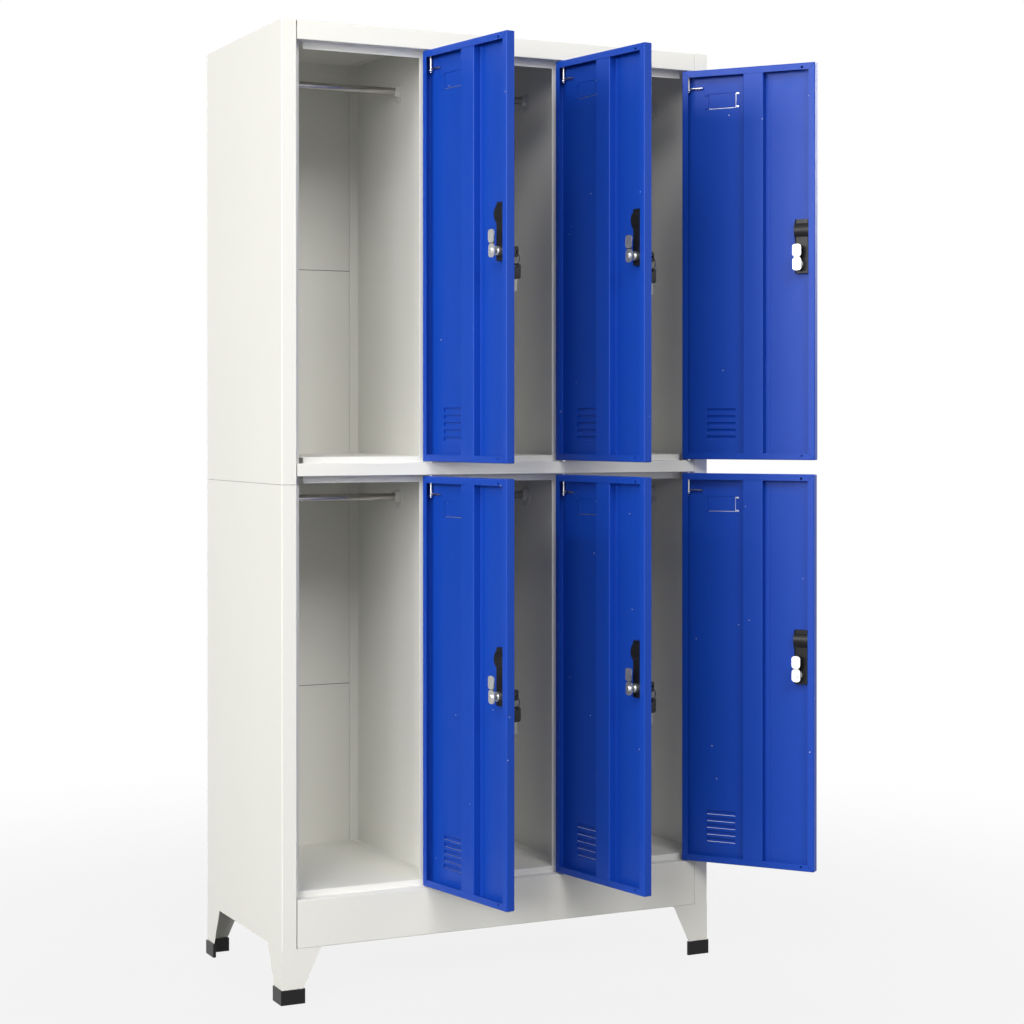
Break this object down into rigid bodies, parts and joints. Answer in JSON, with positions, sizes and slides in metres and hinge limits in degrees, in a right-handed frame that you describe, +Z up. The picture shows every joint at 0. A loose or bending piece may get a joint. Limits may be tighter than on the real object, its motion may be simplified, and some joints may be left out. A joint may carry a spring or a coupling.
{
  "type": "school locker",
  "caption": "Sheet-steel school locker with hinged pan doors, pressed louvres, recessed handles with key-turned cam locks, a hanging rod per compartment and tapered angle legs.",
  "frame": {"origin": "on the floor at the middle of the closed carcass footprint", "axes": "+Z up, -Y out of the front where the doors are, +X to the right as seen from the front"},
  "size_m": [1.0357, 0.7035, 1.8],
  "materials": {
    "carcass_white": "off-white powder coat, satin",
    "door_blue": "deep blue powder coat, satin",
    "black_plastic": "moulded, smooth",
    "white_plastic": "moulded, smooth",
    "rod_chrome": "bright plated tube",
    "zinc_steel": "bright zinc plated"
  },
  "bodies": {
    "carcass": {"side_upper_left": "carcass_white", "side_upper_right": "carcass_white", "side_lower_left": "carcass_white", "side_lower_right": "carcass_white", "top_panel": "carcass_white", "middle_shelf": "carcass_white", "bottom_panel": "carcass_white", "partition_upper_left": "carcass_white", "partition_upper_right": "carcass_white", "partition_lower_left": "carcass_white", "partition_lower_right": "carcass_white", "back_panel_1": "carcass_white", "back_panel_2": "carcass_white", "back_panel_3": "carcass_white", "back_panel_4": "carcass_white", "leg_front_left": "carcass_white", "leg_front_right": "carcass_white", "leg_rear_left": "carcass_white", "leg_rear_right": "carcass_white", "foot_caps": "black_plastic", "leg_bolts": "zinc_steel", "hanging_rods": "rod_chrome", "rod_sockets": "white_plastic"},
    "door_upper_left": {"door_panel_upper_left": "door_blue", "stiffener_upper_left": "door_blue", "hinge_pins_upper_left": "zinc_steel", "handle_upper_left": "black_plastic"},
    "lock_upper_left": {"lock_cam_upper_left": "zinc_steel", "key_upper_left": "black_plastic"},
    "door_upper_middle": {"door_panel_upper_middle": "door_blue", "stiffener_upper_middle": "door_blue", "hinge_pins_upper_middle": "zinc_steel", "handle_upper_middle": "black_plastic"},
    "lock_upper_middle": {"lock_cam_upper_middle": "zinc_steel", "key_upper_middle": "black_plastic"},
    "door_upper_right": {"door_panel_upper_right": "door_blue", "stiffener_upper_right": "door_blue", "hinge_pins_upper_right": "zinc_steel", "handle_upper_right": "black_plastic"},
    "lock_upper_right": {"lock_cam_upper_right": "zinc_steel", "key_upper_right": "black_plastic"},
    "door_lower_left": {"door_panel_lower_left": "door_blue", "stiffener_lower_left": "door_blue", "hinge_pins_lower_left": "zinc_steel", "handle_lower_left": "black_plastic"},
    "lock_lower_left": {"lock_cam_lower_left": "zinc_steel", "key_lower_left": "black_plastic"},
    "door_lower_middle": {"door_panel_lower_middle": "door_blue", "stiffener_lower_middle": "door_blue", "hinge_pins_lower_middle": "zinc_steel", "handle_lower_middle": "black_plastic"},
    "lock_lower_middle": {"lock_cam_lower_middle": "zinc_steel", "key_lower_middle": "black_plastic"},
    "door_lower_right": {"door_panel_lower_right": "door_blue", "stiffener_lower_right": "door_blue", "hinge_pins_lower_right": "zinc_steel", "handle_lower_right": "black_plastic"},
    "lock_lower_right": {"lock_cam_lower_right": "zinc_steel", "key_lower_right": "black_plastic"}
  },
  "joints": [
    {"name": "door_upper_left_hinge", "type": "hinge", "parent": "carcass", "child": "door_upper_left", "pos_m": [-0.15133, -0.215, 1.37675], "axis": [0, 0, 1], "range_deg": [-99.29, 31.21]},
    {"name": "lock_upper_left_turn", "type": "hinge", "parent": "door_upper_left", "child": "lock_upper_left", "pos_m": [-0.11347, -0.44639, 1.372], "axis": [0.9869, 0.1615, 0], "range_deg": [0, 90]},
    {"name": "door_upper_middle_hinge", "type": "hinge", "parent": "carcass", "child": "door_upper_middle", "pos_m": [0.12933, -0.215, 1.37675], "axis": [0, 0, 1], "range_deg": [-99.29, 31.21]},
    {"name": "lock_upper_middle_turn", "type": "hinge", "parent": "door_upper_middle", "child": "lock_upper_middle", "pos_m": [0.1672, -0.44639, 1.372], "axis": [0.9869, 0.1615, 0], "range_deg": [0, 90]},
    {"name": "door_upper_right_hinge", "type": "hinge", "parent": "carcass", "child": "door_upper_right", "pos_m": [0.41, -0.215, 1.37675], "axis": [0, 0, 1], "range_deg": [-127.9, 2.6]},
    {"name": "lock_upper_right_turn", "type": "hinge", "parent": "door_upper_right", "child": "lock_upper_right", "pos_m": [0.55403, -0.40001, 1.372], "axis": [0.7891, 0.6143, 0], "range_deg": [0, 90]},
    {"name": "door_lower_left_hinge", "type": "hinge", "parent": "carcass", "child": "door_lower_left", "pos_m": [-0.15133, -0.215, 0.57675], "axis": [0, 0, 1], "range_deg": [-99.29, 31.21]},
    {"name": "lock_lower_left_turn", "type": "hinge", "parent": "door_lower_left", "child": "lock_lower_left", "pos_m": [-0.11347, -0.44639, 0.572], "axis": [0.9869, 0.1615, 0], "range_deg": [0, 90]},
    {"name": "door_lower_middle_hinge", "type": "hinge", "parent": "carcass", "child": "door_lower_middle", "pos_m": [0.12933, -0.215, 0.57675], "axis": [0, 0, 1], "range_deg": [-99.29, 31.21]},
    {"name": "lock_lower_middle_turn", "type": "hinge", "parent": "door_lower_middle", "child": "lock_lower_middle", "pos_m": [0.1672, -0.44639, 0.572], "axis": [0.9869, 0.1615, 0], "range_deg": [0, 90]},
    {"name": "door_lower_right_hinge", "type": "hinge", "parent": "carcass", "child": "door_lower_right", "pos_m": [0.41, -0.215, 0.57675], "axis": [0, 0, 1], "range_deg": [-127.2, 3.3]},
    {"name": "lock_lower_right_turn", "type": "hinge", "parent": "door_lower_right", "child": "lock_lower_right", "pos_m": [0.55176, -0.40176, 0.572], "axis": [0.7965, 0.6046, 0], "range_deg": [0, 90]}
  ]
}
